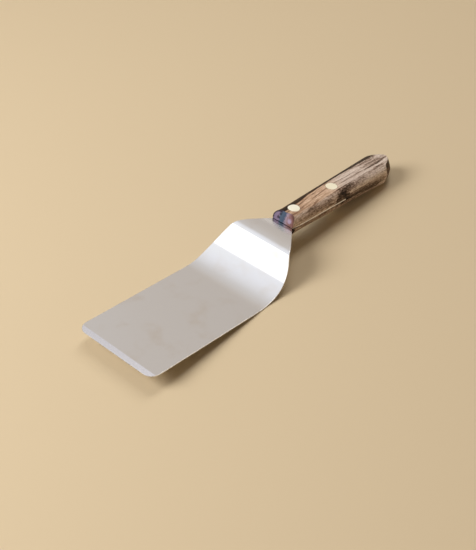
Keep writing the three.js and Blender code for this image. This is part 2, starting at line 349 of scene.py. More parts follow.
out_border = border(np.stack([
    np.repeat(out_along[:, None], CROSS_LINES, 1),
    np.repeat(out_across[:, None], CROSS_LINES, 1) * np.sign(across_share),
], -1))
turn = np.linspace(0, np.pi / 2, 5)[:, None, None]


def edge_round(face, up):
    """Quarter round from the border of a face to the outline: outwards with the sine of the turn,
    and away from the face with one less its cosine."""
    rim = border(face)
    outwards = np.concatenate([out_border, np.zeros((len(rim), 1))], 1)
    return rim + EDGE_EASE * (np.sin(turn) * outwards - (1 - np.cos(turn)) * np.array([0, 0, up]))


edge_band = np.concatenate([edge_round(upper_face, 1), edge_round(lower_face, -1)[::-1]])
blade = make_piece(
    "blade_sheet",
    [(upper_face, False), (lower_face, False), (edge_band, True)],
    lambda own: lay_down(above_sheet(own)), "blade",
)

# %% [markdown]
# ## Handle
# The handle is a stack of outlines, one at each level. Its long edges are heavily rounded at the
# front and less at the butt, its nose falls back towards the top and the bottom, and its butt is
# a pointed arch that bulges in the middle. A carved block would need many cuts to look this even,
# so each level's outline is worked out from the same few rounds.

# %% Outline of the handle
FRONT_EDGE_ROUND = 0.95
BUTT_EDGE_ROUND = 0.57
NOSE_EDGE_ROUND = 0.65
WIDTH_ROUND_LIMIT = 0.82
NOSE_RUN = 8.0
NOSE_SETBACK = 2.8
NOSE_POWER = 2.4
NOSE_EASE = 1.0
BUTT_POWER = 1.2
GABLE_LENGTH = 15.2
GABLE_START_ANGLE, GABLE_TIP_ANGLE = np.radians([18, 72.5])
ARRIS = 0.35
NOSE_POINTS, SIDE_POINTS, ARCH_POINTS = 11, 48, 25
CORNER_REPEATS = 8


def edge_radius(along):
    """Radius of the handle's long edges: an even change from the front to the butt, less close
    behind the nose, which is left squarer, and at most a share of half the width."""
    round_share = FRONT_EDGE_ROUND + (BUTT_EDGE_ROUND - FRONT_EDGE_ROUND) * along / HANDLE_LENGTH
    near_nose = np.clip(1 - along / NOSE_RUN, 0, 1) ** 2
    round_share = round_share + (NOSE_EDGE_ROUND - round_share) * near_nose
    return np.minimum(round_share * half_thickness, WIDTH_ROUND_LIMIT * handle_half_width(along))


def side_point(along, level):
    """Point on the left side at a level: the half width less the round of the long edge."""
    radius = edge_radius(along)
    past = np.abs(level) - half_thickness + radius
    return np.stack([along, handle_half_width(along) - rounded_inset(radius, past)], -1)


def eased(start, corner, end, count):
    """Quadratic curve from start to end, drawn towards a corner."""
    turn = np.linspace(0, 1, count)[:, None, None]
    return (1 - turn) ** 2 * start + 2 * turn * (1 - turn) * corner + turn**2 * end


def butt_places(level):
    """Apex of the butt and the corner where its arch leaves the side: the apex falls back towards
    the top and the bottom, and the arch is shorter where the level is narrower. The corner depends
    on the width at itself, so a few repeats find it."""
    share = np.abs(level) / half_thickness
    apex = HANDLE_LENGTH - BUTT_BULGE * share**BUTT_POWER
    corner = apex - GABLE_LENGTH
    for _ in range(CORNER_REPEATS):
        corner = apex - GABLE_LENGTH * side_point(corner, level)[..., 1] / handle_half_width(corner)
    return apex, corner


def handle_outline(level):
    """Left half of the outline at each level, nose to tip: eased nose corner, side, and half of
    the arch, which leaves the side at one angle and meets the tip at a steeper one."""
    share = np.abs(level) / half_thickness
    arris = rounded_inset(ARRIS, np.abs(level) - half_thickness + ARRIS)
    front = NOSE_SETBACK * share**NOSE_POWER + arris
    nose_corner = side_point(front, level)
    ease = np.minimum(NOSE_EASE, nose_corner[..., 1] / 2)
    nose_start = np.stack([front, nose_corner[..., 1] - ease], -1)
    nose_end = side_point(front + ease, level)
    apex, corner = butt_places(level)
    apex = apex - arris
    side_end = side_point(corner, level)
    start_slope, tip_slope = np.tan([GABLE_START_ANGLE, GABLE_TIP_ANGLE])
    reach = ((apex - corner) * tip_slope - side_end[:, 1]) / (tip_slope - start_slope)
    bend = np.stack([corner + reach, side_end[:, 1] - reach * start_slope], -1)
    tip = np.stack([apex, np.zeros_like(apex)], -1)
    steps = np.linspace(0, 1, SIDE_POINTS + 2)[1:-1, None]
    side = side_point(nose_end[:, 0] * (1 - steps) + side_end[:, 0] * steps, level)
    nose = eased(nose_start, nose_corner, nose_end, NOSE_POINTS)
    outline = np.concatenate([nose, side, eased(side_end, bend, tip, ARCH_POINTS)])
    return np.swapaxes(outline, 0, 1)


print("butt", round(2 * handle_half_width(HANDLE_LENGTH), 1), "mm wide")

# %% [markdown]
# ### The slotted handle
# A saw cut at the middle level takes the tang. Cutting it with a boolean would leave long thin
# faces, so the outline is repeated at the cut's two levels, with every point in front of the cut's
# end pushed back to that end. The lips of the cut are eased at its mouth. The mesh also keeps how
# far each point lies past the start of the butt's arch, for the end grain.

# %% Handle
SLOT_SPARE = 1.0
SLOT_GAP = 0.06
SLOT_MOUTH = 0.3
LEAST_STEP = 0.1
HALF_LEVELS = 40
CAP_POINTS = 7


def wood_place(own):
    """Takes the handle's own millimetres to metres of the frame."""
    return lay_down(along_handle(own))



slot_end = TANG_LENGTH + SLOT_SPARE
slot_half = SHEET_THICKNESS / 2 + SLOT_GAP
upper_levels = half_thickness * np.sin(np.linspace(0, np.pi / 2, HALF_LEVELS))
upper_levels = np.append(slot_half, upper_levels[upper_levels > slot_half + SLOT_MOUTH + LEAST_STEP])
levels = np.concatenate([-upper_levels[::-1], [-slot_half, slot_half], upper_levels])
left = handle_outline(levels)
left = np.concatenate([left, np.repeat(levels[:, None, None], left.shape[1], 1)], 2)
in_slot = slice(len(upper_levels), len(upper_levels) + 2)
left[in_slot, :, 0] = np.maximum(left[in_slot, :, 0], slot_end)
lips = [len(upper_levels) - 1, len(upper_levels) + 2]
mouth = SLOT_MOUTH * np.clip(1 - left[lips, :, 0] / TANG_WIDENING, 0, 1)
left[lips, :, 2] += np.sign(left[lips, :, 2]) * mouth
right = left * [1, -1, 1]
cap_share = np.linspace(0, 1, CAP_POINTS)[:, None]
front = left[:, :1] * (1 - cap_share[1:-1]) + right[:, :1] * cap_share[1:-1]
around = np.concatenate([right, left[:, ::-1], front], 1)
bottom_cap = right[0][:, None] * (1 - cap_share) + left[0][:, None] * cap_share
top_cap = right[-1][:, None] * (1 - cap_share) + left[-1][:, None] * cap_share
handle = make_piece(
    "handle_walnut",
    [(around, True), (bottom_cap, False), (top_cap, False)],
    wood_place, "handle",
)
own = np.empty(3 * len(handle.data.vertices), np.float32)
handle.data.attributes["own"].data.foreach_get("vector", own)
along, across, level = own.reshape(-1, 3).T
past_corner = handle.data.attributes.new("past_corner", "FLOAT", "POINT")
past_corner.data.foreach_set("value", (along - butt_places(level)[1]).astype(np.float32))

# %% [markdown]
# ## Rivets
# Each rivet is two turned pieces: a pin with a head on top, and a bored barrel with a head below
# that takes the pin, with a small gap in place of the press fit. When the handle is sanded, the
# heads are ground down with the wood, so their faces follow its rounded top with a slight crown
# left by the softer wood around them. Plain cylinders would stand off the wood, so a turned profile
# gives the piece, and the wood's own formula gives the face its curve.

# %% Rivets
FRONT_RIVET = 11.6
RIVET_SPACING = 43.3
HEAD_RADIUS = 4.65
HEAD_THICKNESS = 1.6
HEAD_PROUD = 0.1
HEAD_EASE = 0.25
BARREL_RADIUS = 2.5
BARREL_WALL = 0.9
BARREL_END_GAP = 1.2
PIN_GAP = 0.3
FACE_POINTS, EASE_POINTS, TURNED_POINTS = 12, 7, 64

head_level = half_thickness + HEAD_PROUD
seat_level = head_level - HEAD_THICKNESS


def wood_drop(along, across):
    """How far the handle's top has fallen from its flat: the round of the long edge, reached at a
    distance from its side."""
    radius = edge_radius(along)
    return rounded_inset(radius, np.abs(across) - handle_half_width(along) + radius)


def turned_rivet(centre, shank):
    """A profile turned about the rivet's axis. The face and its eased rim are lowered with the
    wood, and the shank below the seat is left as turned."""
    ease = np.linspace(0, np.pi / 2, EASE_POINTS)
    face_radius = np.linspace(0, HEAD_RADIUS - HEAD_EASE, FACE_POINTS)
    rim_radius = HEAD_RADIUS - HEAD_EASE * (1 - np.sin(ease[1:]))
    rim_level = head_level - HEAD_EASE * (1 - np.cos(ease[1:]))
    crown = HEAD_PROUD * (1 - (face_radius / HEAD_RADIUS) ** 2)
    shank_radius, shank_level = np.array(shank).T
    radius = np.concatenate([face_radius, rim_radius, [HEAD_RADIUS], shank_radius])[:, None]
    level = np.concatenate([head_level - HEAD_PROUD + crown, rim_level - HEAD_PROUD,
                            [seat_level], shank_level])[:, None]
    angle = np.linspace(0, 2 * np.pi, TURNED_POINTS, endpoint=False)
    along = centre + radius * np.cos(angle)
    across = radius * np.sin(angle)
    on_face = np.arange(len(radius))[:, None] < len(face_radius) + len(rim_radius)
    level = level - np.where(on_face, wood_drop(along, across), 0)
    return np.stack([along, across, level], -1)


bore_radius = BARREL_RADIUS - BARREL_WALL
pin_radius = bore_radius - PIN_GAP
pin_end = PIN_GAP - seat_level
mouth_level = BARREL_END_GAP - seat_level
pin_shank = [(pin_radius, seat_level), (pin_radius, pin_end), (0, pin_end)]
barrel_shank = [(BARREL_RADIUS, seat_level), (BARREL_RADIUS, mouth_level)]
barrel_shank += [(bore_radius, mouth_level), (bore_radius, seat_level), (0, seat_level)]
rivets = []
for place, centre in [("front", FRONT_RIVET), ("rear", FRONT_RIVET + RIVET_SPACING)]:
    pin = turned_rivet(centre, pin_shank)
    barrel = turned_rivet(centre, barrel_shank) * [1, 1, -1]
    for part, own in [("pin", pin), ("barrel", barrel)]:
        rivets.append(make_piece(
            f"{place}_rivet_{part}", [(own, True)], wood_place, f"rivet_{part}_{place}",
        ))

# %% [markdown]
# ## Finishes
# A finish is a small tree of nodes. Short helpers keep the trees readable: one adds a node with
# its settings and inputs, and the others do arithmetic, multiply shares, make a soft step between
# two values, lay one colour over another and run through a row of colours. Colours are written as
# a colour picker shows them and turned into the linear values that light needs.

# %% Node helpers
def add(tree, kind, inputs=None, **settings):
    """A node with its settings, its inputs given as values or as outputs to link."""
    node = tree.nodes.new("ShaderNode" + kind)
    for name, value in settings.items():
        setattr(node, name, value)
    for name, value in (inputs or {}).items():
        if isinstance(value, bpy.types.NodeSocket):
            tree.links.new(value, node.inputs[name])
        else:
            node.inputs[name].default_value = value
    return node


def sums(tree, operation, *values):
    """One arithmetic node on numbers or outputs."""
    return add(tree, "Math", dict(enumerate(values)), operation=operation).outputs[0]


def both(tree, *shares):
    """The product of shares, which is full only where all of them are."""
    result = shares[0]
    for share in shares[1:]:
        result = sums(tree, "MULTIPLY", result, share)
    return result


def soft_step(tree, value, low, high, start=0.0, end=1.0):
    """A soft change from start to end while the value goes from low to high."""
    inputs = {"Value": value, "From Min": low, "From Max": high, "To Min": start, "To Max": end}
    return add(tree, "MapRange", inputs, interpolation_type="SMOOTHSTEP").outputs[0]


def mixed(tree, share, first, second):
    """One colour laid over another by a share. A Mix node has sockets for every kind of data: 0 is
    the share, 6 and 7 are the colours, and output 2 is the mixed colour."""
    return add(tree, "Mix", {0: share, 6: first, 7: second}, data_type="RGBA").outputs[2]


def colour_run(tree, place, stops):
    """A run of colours from the first stop to the last."""
    ramp = add(tree, "ValToRGB", {"Fac": place})
    elements = ramp.color_ramp.elements
    while len(elements) < len(stops):
        elements.new(1.0)
    for element, (stop, colour) in zip(elements, stops):
        element.position = stop
        element.color = colour
    return ramp.outputs[0]


def picked(red, green, blue):
    """A picker's colour, 0 to 255, as linear values by the sRGB curve."""
    share = np.array([red, green, blue]) / 255
    linear = np.where(share < 0.04045, share / 12.92, ((share + 0.055) / 1.055) ** 2.4)
    return (*linear.tolist(), 1.0)


def new_finish(name):
    """A material with its tree and its main shader."""
    material = bpy.data.materials.new(name)
    material.use_nodes = True
    return material, material.node_tree, material.node_tree.nodes["Principled BSDF"]


print("mid grey is", round(picked(128, 128, 128)[0], 3), "in linear light")

# %% [markdown]
# ## Drawn-out marks
# Brush lines on steel, sanding lines on brass and the fibres of wood are the same thing at
# different sizes: noise that is drawn out along the work. Each finish could have its own noise,
# but one group serves all three. The stretch divides the length, and the fineness sets how close
# the lines lie. The clouds beside them are broad and even, for smudges and age.

# %% Group of drawn-out marks
marks = bpy.data.node_groups.new("drawn_out_marks", "ShaderNodeTree")
marks.interface.new_socket("Own", in_out="INPUT", socket_type="NodeSocketVector")
marks.interface.new_socket("Stretch", in_out="INPUT", socket_type="NodeSocketFloat")
marks.interface.new_socket("Fineness", in_out="INPUT", socket_type="NodeSocketFloat")
marks.interface.new_socket("Lines", in_out="OUTPUT", socket_type="NodeSocketFloat")
marks.interface.new_socket("Clouds", in_out="OUTPUT", socket_type="NodeSocketFloat")
entry = marks.nodes.new("NodeGroupInput")
leaving = marks.nodes.new("NodeGroupOutput")
parts = add(marks, "SeparateXYZ", {0: entry.outputs["Own"]}).outputs
drawn = sums(marks, "DIVIDE", parts[0], entry.outputs["Stretch"])
drawn_own = add(marks, "CombineXYZ", {0: drawn, 1: parts[1], 2: parts[2]}).outputs[0]
line_noise = add(marks, "TexNoise", {
    "Vector": drawn_own, "Scale": entry.outputs["Fineness"], "Detail": 3.0, "Roughness": 0.65,
})
cloud_noise = add(marks, "TexNoise", {"Vector": entry.outputs["Own"], "Scale": 0.045, "Detail": 4.0})
marks.links.new(line_noise.outputs[0], leaving.inputs["Lines"])
marks.links.new(cloud_noise.outputs[0], leaving.inputs["Clouds"])


def drawn_out(tree, stretch, fineness):
    """The group placed in a material, on the piece's own coordinates."""
    own = add(tree, "Attribute", attribute_name="own").outputs["Vector"]
    node = add(tree, "Group", node_tree=marks)
    tree.links.new(own, node.inputs["Own"])
    node.inputs["Stretch"].default_value = stretch
    node.inputs["Fineness"].default_value = fineness
    return own, node.outputs["Lines"], node.outputs["Clouds"]


print("group:", [socket.name for socket in marks.interface.items_tree])

# %% [markdown]
# ## Brushed steel
# The sheet is stainless steel, brushed along its length and a little smudged by use. Metal has no
# colour of its own apart from its reflection, so the tone is kept even and the life comes from
# the roughness and from fine lines that tilt the reflection. The ground bevel is duller. So is the
# neck as it nears the handle, apart from a last strip that still mirrors the wood.

# %% Steel
SMOOTHEST, ROUGHEST = 0.09, 0.13
GROUND_DULLER, NECK_DULLER, SLOT_DULLER = 0.16, 0.19, 0.55
STRIP_SHARE = 0.15
DULL_FROM, STRIP_FROM, STRIP_FULL = handle_front - np.array([11.0, 4.0, 1.5])

steel, tree, shader = new_finish("brushed_steel")
own, lines, clouds = drawn_out(tree, 60.0, 3.2)
along = add(tree, "SeparateXYZ", {0: own}).outputs[0]
ground = soft_step(tree, along, GROUND_LENGTH - GROUND_BLEND, GROUND_LENGTH + GROUND_BLEND, 1.0, 0.0)
in_handle = soft_step(tree, along, handle_front, handle_front + 2)
smudge = soft_step(tree, clouds, 0.5, 0.75)
tone = mixed(tree, smudge, picked(219, 218, 217), picked(215, 211, 206))
tone = mixed(tree, ground, tone, picked(208, 207, 211))
# Inside the handle the tang is painted paler than the sheet: a painted highlight for the bright line of
# its edge.
tone = mixed(tree, in_handle, tone, picked(240, 236, 230))
near_handle = soft_step(tree, along, DULL_FROM, STRIP_FROM, 0.0, NECK_DULLER)
last_strip = soft_step(tree, along, STRIP_FROM, STRIP_FULL, 1.0, STRIP_SHARE)
roughness = soft_step(tree, lines, 0.25, 0.75, SMOOTHEST, ROUGHEST)
roughness = sums(tree, "ADD", roughness, both(tree, near_handle, last_strip))
roughness = sums(tree, "MULTIPLY_ADD", in_handle, SLOT_DULLER, roughness)
roughness = sums(tree, "MULTIPLY_ADD", ground, GROUND_DULLER, roughness)
tree.links.new(tone, shader.inputs["Base Color"])
tree.links.new(roughness, shader.inputs["Roughness"])
shader.inputs["Metallic"].default_value = 1.0
relief = add(tree, "Bump", {"Height": lines, "Strength": 0.1, "Distance": 0.00003})
tree.links.new(relief.outputs[0], shader.inputs["Normal"])
blade.data.materials.append(steel)
print(steel.name, len(tree.nodes), "nodes")

# %% [markdown]
# ## Walnut
# Walnut shows long fibres, short dark pores and dark growth layers. A pattern laid round the
# handle would break at its edges, so the figure is worked out inside the wood, and the handle's
# surface cuts through it. Every mark has a place along, across and up in the handle's own
# millimetres, and noise that is drawn out along the grain stirs its border.

# %% Places in the walnut
walnut, tree, shader = new_finish("oiled_walnut")
own, fibres = drawn_out(tree, 18.0, 0.9)[:2]
threads = drawn_out(tree, 6.0, 1.7)[1]
along, across, level = add(tree, "SeparateXYZ", {0: own}).outputs


def grain_noise(scale, detail):
    """Noise about zero in the wood, with a number of turns to the millimetre along, across and up."""
    place = add(tree, "Mapping", {"Vector": own, "Scale": scale}).outputs[0]
    noise = add(tree, "TexNoise", {"Vector": place, "Scale": 1.0, "Detail": detail}).outputs[0]
    return sums(tree, "SUBTRACT", noise, 0.5)


waver = grain_noise((0.045, 0.25, 0.25), 3.0)
stir = grain_noise((0.12, 1.1, 1.1), 4.0)
speckle = grain_noise((0.5, 0.8, 0.8), 3.0)
pores = soft_step(tree, grain_noise((0.2, 2.6, 2.6), 2.0), 0.08, 0.2)


def patch(centre, reach, strength):
    """A place in the wood: full at its centre, gone at its reach, its border drawn out into
    streaks by the grain."""
    away = add(tree, "VectorMath", {0: own, 1: centre}, operation="SUBTRACT").outputs[0]
    away = add(tree, "VectorMath", {0: away, 1: reach}, operation="DIVIDE").outputs[0]
    far = add(tree, "VectorMath", {0: away}, operation="LENGTH").outputs["Value"]
    far = sums(tree, "MULTIPLY_ADD", stir, 1.3, sums(tree, "MULTIPLY_ADD", speckle, 0.8, far))
    return soft_step(tree, far, 0.4, 1.05, strength, 0.0)


print("places in the wood:", len(tree.nodes), "nodes")

# %% [markdown]
# ### Growth layers
# The layers are sheets inside the wood. Their depth is measured across the handle at a slant, so
# one layer comes out on the top, the side and the end in the right places. One broad layer is
# dark, with a soft border before it. Thin lines repeat at an even spacing, nearly straight in the
# front half and wavy in the rear half, where two streaks also lie.

# %% Growth layers
LAYER_ACROSS, LAYER_LEVEL = 0.87, -0.49
FRONT_DEPTH, REAR_DEPTH = -3.0, 2.0
LAYER_DARKNESS = 0.66
LINE_SPACING = 3.1
FRONT_WAVE, REAR_WAVE = 1.2, 4.5
FAINTEST_LINE, STRONGEST_LINE = 0.08, 0.34

layer = sums(tree, "MULTIPLY_ADD", across, LAYER_ACROSS, sums(tree, "MULTIPLY", level, LAYER_LEVEL))
layer_edge = soft_step(tree, along, 3.0, 63.0, FRONT_DEPTH, REAR_DEPTH)
into_layer = sums(tree, "ADD", stir, sums(tree, "SUBTRACT", layer, layer_edge))
into_dark = sums(tree, "ADD", into_layer, soft_step(tree, along, 32.0, 50.0, 0.0, 0.8))
dark_layer = soft_step(tree, into_dark, -0.3, 0.4, 0.0, LAYER_DARKNESS)
dark_layer = sums(tree, "SUBTRACT", dark_layer, soft_step(tree, into_layer, 3.6, 6.0, 0.0, 0.42))
dark_layer = sums(tree, "ADD", dark_layer, soft_step(tree, into_layer, -2.6, 0.0, 0.0, 0.12))
wave = soft_step(tree, along, 45.0, 75.0, FRONT_WAVE, REAR_WAVE)
ring = sums(tree, "MULTIPLY_ADD", waver, wave, sums(tree, "ADD", into_layer, 1.8))
from_line = sums(tree, "PINGPONG", ring, LINE_SPACING / 2)
growth_line = soft_step(tree, from_line, 0.05, 0.55, 1.0, 0.0)
line_strength = grain_noise((0.06, 0.3, 0.3), 2.0)
line_strength = soft_step(tree, line_strength, -0.15, 0.12, FAINTEST_LINE, STRONGEST_LINE)


def streak(depth, reach, first, last, strength):
    """A dark sheet at one depth of the layers, wavering, between two places along the handle. It
    grows over 10 mm and dies away over 20."""
    away = sums(tree, "MULTIPLY_ADD", waver, 3.0, sums(tree, "SUBTRACT", layer, depth))
    away = sums(tree, "ABSOLUTE", sums(tree, "MULTIPLY_ADD", stir, 1.6, away))
    dark = soft_step(tree, away, 0.2, reach, strength, 0.0)
    begun = soft_step(tree, along, first, first + 10.0)
    ended = soft_step(tree, along, last, last - 20.0)
    return both(tree, dark, begun, ended)


right_streak = streak(depth=-10.1, reach=2.0, first=54.0, last=118.0, strength=0.34)
middle_streak = streak(depth=-5.7, reach=1.2, first=60.0, last=128.0, strength=0.24)
print("with the growth layers:", len(tree.nodes), "nodes")

# %% [markdown]
# ### The right side, the knot and the shade
# The right side is cut nearly along the layers, so the thin lines fade there and the wood is
# rougher and darker in places. A knot with a clean front lies beside the rear rivet. Where the
# handle turns down into shade, below the tang at the front, towards the bottom of the rear and at
# the foot of the nose under the sheet, the wood is darkened with painted shade. Colours laid over
# one another would soon turn muddy, so every mark takes its part from one shade.

# %% Shade of the long grain
FRONT_SHADE, REAR_SHADE = 0.71, 0.82
SIDE_DARKER, BELOW_TANG_PAINTED_SHADE, LOW_REAR_PAINTED_SHADE, PORES_DARKER = 0.16, 0.14, 0.37, 0.12
FIBRE_CHANGE, THREAD_CHANGE = 0.13, 0.1
KNOT = ((55.0, -10.2, 3.8), (11.5, 6.0, 6.6), 0.44)
DARK_PATCHES_AND_SHADE = {
    "between the rivets": ((25.0, -9.0, 5.5), (9.0, 4.0, 4.5), 0.08),
    "before the knot": ((42.0, -9.8, 4.0), (7.0, 3.0, 4.0), 0.14),
    "behind the knot": ((65.0, -9.0, 6.0), (15.0, 4.0, 3.6), 0.22),
    "on top before the butt": ((105.0, 1.0, 8.5), (17.0, 6.0, 3.0), 0.26),
    # Painted shade in the recess under the sheet, at the lower front corner of the nose.
    "painted shade at the foot of the nose": ((0.3, -9.7, -2.4), (3.0, 2.6, 2.4), 1.2),
}

on_side = soft_step(tree, sums(tree, "MULTIPLY_ADD", stir, 3.0, across), -5.6, -7.4)
side_stretch = soft_step(tree, along, 8.0, 24.0, 0.0, SIDE_DARKER)
side_stretch = both(tree, on_side, side_stretch, soft_step(tree, along, 66.0, 58.0))
# Painted shade: the lower half below the tang, which faces down, is darkened.
painted_shade_below_tang = soft_step(tree, level, 0.3, -0.3, 0.0, BELOW_TANG_PAINTED_SHADE)
painted_shade_below_tang = both(tree, painted_shade_below_tang, soft_step(tree, along, 66.0, 60.0))
# Painted shade: the rear darkens towards its bottom, which turns down towards the floor.
painted_shade_low_rear = soft_step(tree, level, 5.5, -3.0, 0.0, LOW_REAR_PAINTED_SHADE)
painted_shade_low_rear = both(tree, painted_shade_low_rear, soft_step(tree, along, 58.0, 66.0))
painted_shade_low_rear = both(tree, painted_shade_low_rear, soft_step(tree, along, 110.0, 85.0, 0.3, 1.0))
knot_front = sums(tree, "MULTIPLY_ADD", level, -0.9, sums(tree, "MULTIPLY_ADD", stir, 4.0, along))
knot = both(tree, patch(*KNOT), soft_step(tree, knot_front, 44.8, 46.8))
line_share = soft_step(tree, on_side, 0.0, 1.0, 1.0, 0.3)
rough_side = soft_step(tree, on_side, 0.0, 1.0, 0.35, 0.75)
shade = soft_step(tree, along, 12.0, 30.0, FRONT_SHADE, REAR_SHADE)
shade = sums(tree, "MULTIPLY_ADD", speckle, rough_side, shade)
shade = sums(tree, "ADD", shade, soft_step(tree, fibres, 0.3, 0.7, -FIBRE_CHANGE, FIBRE_CHANGE))
shade = sums(tree, "ADD", shade, soft_step(tree, threads, 0.3, 0.7, -THREAD_CHANGE, THREAD_CHANGE))
darker = [dark_layer, right_streak, middle_streak, knot, side_stretch, painted_shade_below_tang, painted_shade_low_rear]
darker += [both(tree, growth_line, line_strength, line_share), both(tree, pores, PORES_DARKER)]
darker += [patch(*place) for place in DARK_PATCHES_AND_SHADE.values()]
for mark in darker:
    shade = sums(tree, "SUBTRACT", shade, mark)
print(len(darker), "dark marks in the shade")

# %% [markdown]
# ### Colour of the long grain
# Two runs of colour, warm and greyish, turn the shade into wood. The front half is warm, and the
# rear half and the right side are greyer. On the rear half the grey is partly the wood's own tone
# and partly painted sheen of the oiled top.

# %% Colour of the long grain
warm = colour_run(tree, shade, [
    (0.0, picked(34, 20, 9)), (0.25, picked(84, 58, 40)), (0.5, picked(146, 112, 88)),
    (0.7, picked(196, 160, 131)), (1.0, picked(234, 205, 178)),
])
grey = colour_run(tree, shade, [
    (0.0, picked(36, 24, 14)), (0.25, picked(90, 71, 57)), (0.5, picked(150, 128, 112)),
    (0.7, picked(204, 183, 168)), (1.0, picked(236, 221, 209)),
])
greyness_and_sheen = sums(tree, "MAXIMUM", soft_step(tree, along, 45.0, 70.0), both(tree, on_side, 0.8))
long_grain = mixed(tree, greyness_and_sheen, warm, grey)
print("with its colour:", len(tree.nodes), "nodes")

# %% [markdown]
# ### End grain of the nose, with painted reflection and shade
# The handle's front end is painted in reddish, violet and blue stripes, side by side across it: the
# reddish is its end grain, and the violet and blue are painted reflection of bluish light on the
# oiled end. Dark spots and a dark rim lie on its left, a pale spot on its right, and below the tang,
# in the shade under the sheet, it is painted nearly black. Painting it by faces would show the mesh,
# so its border is the nose's own formula, moved back a little on the left and at the upper right
# corner.

# %% End grain of the nose
PALE_SPOT = ((1.0, -5.6, 4.4), (5.0, 2.1, 2.3), 0.75)
NOSE_SPOTS = {
    "middle": ((0.5, 4.4, 3.7), (4.0, 1.6, 1.5), 0.8),
    "upper": ((0.8, 3.4, 6.2), (4.0, 1.8, 1.1), 0.7),
    "left": ((1.5, 10.0, 2.2), (4.0, 2.4, 2.2), 1.0),
}

nose_half = HANDLE_FRONT_WIDTH / 2
nose_radius = float(edge_radius(0.0))
level_share = sums(tree, "DIVIDE", sums(tree, "ABSOLUTE", level), half_thickness)
nose_front = sums(tree, "MULTIPLY", sums(tree, "POWER", level_share, NOSE_POWER), NOSE_SETBACK)
right_corner = both(tree, soft_step(tree, across, -0.5, -6.0), soft_step(tree, level, 5.0, 7.0, 0.0, 2.3))
nose_reach = sums(tree, "ADD", right_corner, soft_step(tree, across, 2.0, 8.0, 0.2, 1.5))
behind_nose = sums(tree, "SUBTRACT", sums(tree, "SUBTRACT", along, nose_front), nose_reach)
nose = soft_step(tree, behind_nose, 0.0, 0.3, 1.0, 0.0)
nose_place = sums(tree, "MULTIPLY_ADD", speckle, 5.0, sums(tree, "ADD", across, 10.0))
# The reddish stops are end grain; the violet and blue stops are painted reflection of bluish light.
nose_grain_and_painted_light = colour_run(tree, sums(tree, "DIVIDE", nose_place, 20.0), [
    (0.0, picked(126, 90, 84)), (0.24, picked(134, 99, 98)), (0.34, picked(150, 124, 132)),
    (0.40, picked(160, 142, 160)), (0.46, picked(72, 86, 109)), (0.64, picked(80, 97, 117)),
    (0.70, picked(134, 118, 146)), (0.92, picked(130, 116, 140)), (1.0, picked(94, 83, 98)),
])
nose_grain_and_painted_light = mixed(tree, patch(*PALE_SPOT), nose_grain_and_painted_light, picked(184, 168, 198))
from_arris = add(tree, "CombineXYZ", {
    1: sums(tree, "SUBTRACT", across, nose_half - nose_radius),
    2: sums(tree, "SUBTRACT", level, half_thickness - nose_radius),
}).outputs[0]
from_arris = add(tree, "VectorMath", {0: from_arris}, operation="LENGTH").outputs["Value"]
left_rim = soft_step(tree, from_arris, nose_radius - 1.6, nose_radius - 0.8, 0.0, 0.9)
left_rim = both(tree, left_rim, soft_step(tree, across, 1.5, 3.5), soft_step(tree, level, 1.0, 2.5))
# Below the tang the nose is painted nearly black: painted shade under the sheet.
nose_spots_and_shade = sums(tree, "MAXIMUM", left_rim, soft_step(tree, level, -0.2, -1.0))
for place in NOSE_SPOTS.values():
    nose_spots_and_shade = sums(tree, "MAXIMUM", nose_spots_and_shade, patch(*place))
nose_grain_and_painted_light = mixed(tree, nose_spots_and_shade, nose_grain_and_painted_light, picked(26, 20, 24))
print("with the nose:", len(tree.nodes), "nodes")

# %% [markdown]
# ### End grain of the butt
# The pointed butt cuts across the fibres, which drink more oil there and turn dark brown. The
# attribute that the handle carries says where its arch begins, which no plain coordinate does. The
# growth lines of the long grain go on across it.

# %% End grain of the butt
past_corner = add(tree, "Attribute", attribute_name="past_corner").outputs["Fac"]
below_top = soft_step(tree, level_share, 0.976, 0.988, 1.0, 0.0)
gable = both(tree, soft_step(tree, past_corner, -0.4, 0.0), below_top)
gable_shade = sums(tree, "MULTIPLY_ADD", waver, 1.5, sums(tree, "MULTIPLY_ADD", speckle, 1.3, 0.55))
gable_shade = sums(tree, "MULTIPLY_ADD", growth_line, -0.3, gable_shade)
gable_grain = colour_run(tree, gable_shade, [
    (0.0, picked(34, 21, 12)), (0.5, picked(74, 50, 33)), (1.0, picked(126, 92, 64)),
])
print("with the butt:", len(tree.nodes), "nodes")

# %% [markdown]
# ### The oiled surface
# The three grains are laid over one another, and a thin stain rings each rivet. Oil leaves a low
# sheen that varies with the fibres, and the threads and pores stand out in a fine relief.

# %% Surface of the walnut
STAIN_WIDTH = 0.4

colour = mixed(tree, nose, long_grain, nose_grain_and_painted_light)
colour = mixed(tree, gable, colour, gable_grain)
for centre in (FRONT_RIVET, FRONT_RIVET + RIVET_SPACING):
    away = sums(tree, "POWER", sums(tree, "SUBTRACT", along, centre), 2.0)
    away = sums(tree, "SQRT", sums(tree, "ADD", away, sums(tree, "POWER", across, 2.0)))
    stain = soft_step(tree, away, HEAD_RADIUS, HEAD_RADIUS + STAIN_WIDTH, 0.25, 0.0)
    colour = mixed(tree, stain, colour, picked(60, 42, 32))
tree.links.new(colour, shader.inputs["Base Color"])
sheen = soft_step(tree, fibres, 0.3, 0.7, 0.6, 0.48)
tree.links.new(sheen, shader.inputs["Roughness"])
height = sums(tree, "SUBTRACT", threads, sums(tree, "MULTIPLY", pores, 0.5))
relief = add(tree, "Bump", {"Height": height, "Strength": 0.25, "Distance": 0.0002})
tree.links.new(relief.outputs[0], shader.inputs["Normal"])
shader.inputs["Specular IOR Level"].default_value = 0.15
handle.data.materials.append(walnut)
print(walnut.name, len(tree.nodes), "nodes")

# %% [markdown]
# ## Brass
# The rivet heads are pale brass, sanded along the handle with the wood and a little yellowed in
# places. A mirror finish would look new, so the surface is rough and only partly metallic.

